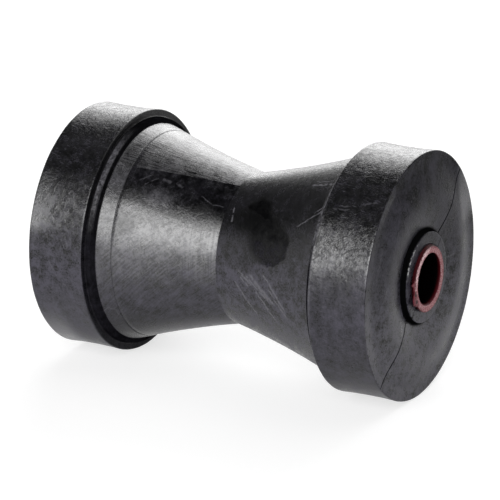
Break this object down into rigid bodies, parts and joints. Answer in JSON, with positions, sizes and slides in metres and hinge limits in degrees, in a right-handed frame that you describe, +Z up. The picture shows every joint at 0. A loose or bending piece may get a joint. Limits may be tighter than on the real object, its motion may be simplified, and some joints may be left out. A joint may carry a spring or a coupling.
{
  "type": "keel roller",
  "caption": "Hourglass rubber keel roller with broad end flanges, round end bosses and a pressed-in plastic tube bush for a spindle.",
  "frame": {"origin": "middle of the waist, on the spindle axis", "axes": "Y along the spindle axis, -Y towards the end seen in the picture, +Z up with the keel saddle on top"},
  "size_m": [0.082, 0.1294, 0.082],
  "materials": {
    "rubber": "black moulded rubber, semi-matt with a grey bloom and scuffs",
    "bush_plastic": "dusky red plastic, sawn ends"
  },
  "bodies": {
    "root": {"roller_body": "rubber", "spindle_bush": "bush_plastic"}
  },
  "joints": []
}
